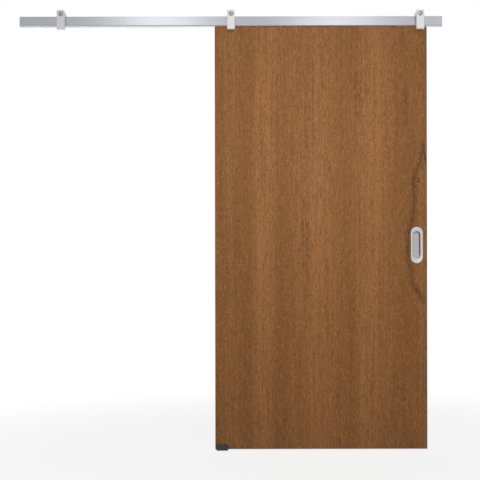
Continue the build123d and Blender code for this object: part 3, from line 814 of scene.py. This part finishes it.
class SLIDINGDOOR_OT_bumpers(bpy.types.Operator):
    """Build the ribbed rubber bumpers of the track stops"""

    bl_idname = "sliding_door.bumpers"
    bl_label = "Bumpers"

    # The ribbed pad, as (share of its length, share of its radius)
    RIBS = (
        (0.04, 1), (0.24, 1), (0.3, 0.84), (0.4, 0.84), (0.46, 1), (0.62, 1), (0.68, 0.84), (0.76, 0.84), (0.82, 0.97),
        (0.94, 0.9), (1, 0.72),
    )  # fmt: skip

    def execute(self, context):
        sizes = context.scene.door_fasteners
        rubber = moulded_finish("bumper_rubber", (0.03, 0.03, 0.03), 0.65)
        for side, way in (("left", 1), ("right", -1)):
            low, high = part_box(f"stop_bumper_{side}")
            root = low.x if way > 0 else high.x
            radius = (high.z - low.z) / 2
            stem, long = sizes.bumper_stem, high.x - low.x
            pad = long - stem
            rings = [(0, 0.0026), (0.0004, 0.003), (stem, 0.003), (stem, radius * 0.94)]
            rings += [(stem + pad * share, radius * reach) for share, reach in self.RIBS]
            place = facing((root, (low.y + high.y) / 2, (low.z + high.z) / 2), (way, 0, 0))
            bumper = turned(rubber, rings, sizes.sides)
            as_piece(f"ribbed_bumper_{side}", [(bumper, place)], "frame", "rubber", f"stop_bumper_{side}")
        return {"FINISHED"}


class SLIDINGDOOR_OT_pulls(bpy.types.Operator):
    """Finish the flush pulls in satin nickel"""

    bl_idname = "sliding_door.pulls"
    bl_label = "Flush Pulls"

    def execute(self, context):
        dress(nickel_finish(context.scene.door_finishes), "flush_pull_front", "flush_pull_rear")
        return {"FINISHED"}


class SLIDINGDOOR_OT_guide(bpy.types.Operator):
    """Finish the floor guide"""

    bl_idname = "sliding_door.guide"
    bl_label = "Floor Guide"

    def execute(self, context):
        look = context.scene.door_finishes
        dress(moulded_finish("guide_grey", look.guide, 0.5), "guide_base", "guide_jaw")
        sizes = context.scene.door_fasteners
        steel = plated_finish("floor_screw_steel", (0.42, 0.42, 0.4), 0.3)
        thread = thread_rule()
        low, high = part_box("guide_screws")
        head = (high.y - low.y) / 2
        shank, crest = sizes.floor_shank, sizes.floor_thread
        reach = high.z - low.z
        floor = high.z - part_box("guide_base")[0].z
        start = floor + 0.001
        rings = [
            (0, head),
            (shank - head, shank),
            (-reach + 0.005, shank * 0.95),
            (-reach, 0.0003),
        ]
        socket = [
            (0, head * 0.96),
            (0, head, sizes.floor_socket),
            (shank - head, head, sizes.floor_socket),
            (shank - head - 0.0004, head * 0.1),
        ]
        ridge = thread.mesh(
            Crest=crest,
            Depth=crest - shank,
            Pitch=sizes.floor_pitch,
            Length=reach - start - 0.005,
            Start=THREAD_LEAD * 2 - reach,
            Finish=steel,
        )
        parts = []
        for x in (low.x + head, high.x - head):
            place = facing((x, (low.y + high.y) / 2, high.z), (0, 0, 1))
            parts += [(turned(steel, [*rings[::-1], *socket], sizes.sides), place), (ridge, place)]
        as_piece("floor_screws", parts, "frame", "steel_screw", "guide_screws")
        return {"FINISHED"}


class SLIDINGDOOR_OT_stage(bpy.types.Operator):
    """Make the floor, the lamps, the white surround and the camera"""

    bl_idname = "sliding_door.stage"
    bl_label = "Stage"

    # Each lamp's name, place, the point it is aimed at and its size
    LAMPS = (
        ("overhead", (0.95, -2.3, 2.4), (0.45, -0.05, -0.9), (2.2, 0.8)),
        ("front", (0.4, -2.0, -0.6), (0.42, -0.05, -0.8), (1.2, 0.6)),
        ("behind", (0.1, 2.6, -0.75), (0.1, 0, -0.9), (4.4, 1.3)),
    )
    # The panels in a row before the rail: name, place along the rail and share of the power
    PANELS = (("panel_left", -0.76, 1), ("panel_right", 1.02, 0.84), ("panel_end", 2.55, 0.52))

    def execute(self, context):
        studio = context.scene.door_studio
        self.make_floor(studio)
        self.make_world(studio)
        for name, place, target, size in self.LAMPS:
            lamp = self.make_lamp(name, place, target, size, getattr(studio, name))
            # The rail would mirror the front lamp as a hard patch
            lamp.visible_glossy = name != "front"
        for name, x, share in self.PANELS:
            self.make_lamp(name, (x, -3.7, 1.1), (x, -0.05, 0), (0.75, 0.8), studio.panel * share)
        camera = bpy.data.objects.new("camera", bpy.data.cameras.new("camera"))
        context.scene.collection.objects.link(camera)
        camera.location = studio.eye
        camera.rotation_euler = (math.radians(90), studio.roll, 0)
        camera.data.lens = studio.lens
        camera.data.sensor_width = 36
        context.scene.camera = camera
        context.scene.view_settings.view_transform = "Standard"
        return {"FINISHED"}

    def seen(self, plan):
        """1 for camera, mirror and see-through rays, which show the white surround."""
        rays = plan.node("ShaderNodeLightPath").outputs
        camera, mirror, clear = (
            Signal(plan, rays[name]) for name in ("Is Camera Ray", "Is Glossy Ray", "Is Transmission Ray")
        )
        return camera.most(mirror).most(clear)

    def make_floor(self, studio):
        """A pale floor that keeps the door's shadow and runs out into white."""
        centre = Vector(((LEAF_LO.x + LEAF_HI.x) / 2, 0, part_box("guide_base")[0].z))
        mesh = bmesh.new()
        bmesh.ops.create_grid(mesh, x_segments=1, y_segments=1, size=FLOOR_SIZE, matrix=Matrix.Translation(centre))
        data = bpy.data.meshes.new("floor")
        mesh.to_mesh(data)
        mesh.free()
        floor = bpy.data.objects.new("floor", data)
        bpy.context.scene.collection.objects.link(floor)
        paint = Finish("floor_paint")
        across = paint.x - centre.x
        away = (across * across * 0.3 + paint.y * paint.y).rise(0.1, 2.2)
        share = (0.84 + away * 0.16) * self.seen(paint)
        matt = paint.node("ShaderNodeBsdfDiffuse", {}, {"Color": studio.floor}).outputs[0]
        white = paint.node("ShaderNodeEmission", {}, {"Strength": 1}).outputs[0]
        mixed = paint.node("ShaderNodeMixShader", {}, {0: share, 1: matt, 2: white}).outputs[0]
        paint.node("ShaderNodeOutputMaterial", {}, {"Surface": mixed})
        data.materials.append(paint.material)

    def make_world(self, studio):
        world = bpy.data.worlds.new("studio")
        world.use_nodes = True
        sky = Plan()
        sky.tree = world.node_tree
        sky.tree.nodes.clear()
        way = sky.node("ShaderNodeTexCoord").outputs["Generated"]
        height = Signal(sky, sky.node("ShaderNodeSeparateXYZ", {}, {0: way}).outputs[2])
        # The light from all round is weaker from below
        fill = (0.15 + height.rise(-0.5, 0.5) * 0.85) * studio.fill
        strength = fill + (1 - fill) * self.seen(sky)
        white = sky.node("ShaderNodeBackground", {}, {"Color": (1, 1, 1), "Strength": strength}).outputs[0]
        sky.node("ShaderNodeOutputWorld", {}, {"Surface": white})
        bpy.context.scene.world = world

    def make_lamp(self, name, place, target, size, power):
        lamp = bpy.data.objects.new(name, bpy.data.lights.new(name, "AREA"))
        bpy.context.scene.collection.objects.link(lamp)
        lamp.data.shape = "RECTANGLE"
        lamp.data.size, lamp.data.size_y = size
        lamp.data.energy = power
        lamp.location = place
        lamp.rotation_euler = (Vector(target) - Vector(place)).to_track_quat("-Z", "Y").to_euler()
        lamp.visible_camera = False
        return lamp


STEPS = (
    SLIDINGDOOR_OT_leaf,
    SLIDINGDOOR_OT_rail,
    SLIDINGDOOR_OT_clips,
    SLIDINGDOOR_OT_wall_bolts,
    SLIDINGDOOR_OT_carriages,
    SLIDINGDOOR_OT_hangers,
    SLIDINGDOOR_OT_rollers,
    SLIDINGDOOR_OT_bumpers,
    SLIDINGDOOR_OT_pulls,
    SLIDINGDOOR_OT_guide,
    SLIDINGDOOR_OT_stage,
)


class SLIDINGDOOR_PT_panel(bpy.types.Panel):
    """Lists the door's steps and settings"""

    bl_idname = "SLIDINGDOOR_PT_panel"
    bl_label = "Sliding Door"
    bl_space_type = "VIEW_3D"
    bl_region_type = "UI"
    bl_category = "Sliding Door"

    def draw(self, context):
        for step in STEPS:
            self.layout.operator(step.bl_idname)
        for group in (context.scene.door_finishes, context.scene.door_fasteners, context.scene.door_studio):
            box = self.layout.box()
            for name in group.__annotations__:
                box.prop(group, name)


CLASSES = (SLIDINGDOOR_PG_finishes, SLIDINGDOOR_PG_fasteners, SLIDINGDOOR_PG_studio, *STEPS, SLIDINGDOOR_PT_panel)


def register():
    for cls in CLASSES:
        bpy.utils.register_class(cls)
    bpy.types.Scene.door_finishes = PointerProperty(type=SLIDINGDOOR_PG_finishes)
    bpy.types.Scene.door_fasteners = PointerProperty(type=SLIDINGDOOR_PG_fasteners)
    bpy.types.Scene.door_studio = PointerProperty(type=SLIDINGDOOR_PG_studio)


def unregister():
    del bpy.types.Scene.door_finishes
    del bpy.types.Scene.door_fasteners
    del bpy.types.Scene.door_studio
    for cls in reversed(CLASSES):
        bpy.utils.unregister_class(cls)


def main():
    register()
    ops = bpy.ops.sliding_door
    ops.leaf()
    ops.rail()
    ops.clips()
    ops.wall_bolts()
    ops.carriages()
    ops.hangers()
    ops.rollers()
    ops.bumpers()
    ops.pulls()
    ops.guide()
    ops.stage()


if __name__ == "__main__":
    main()
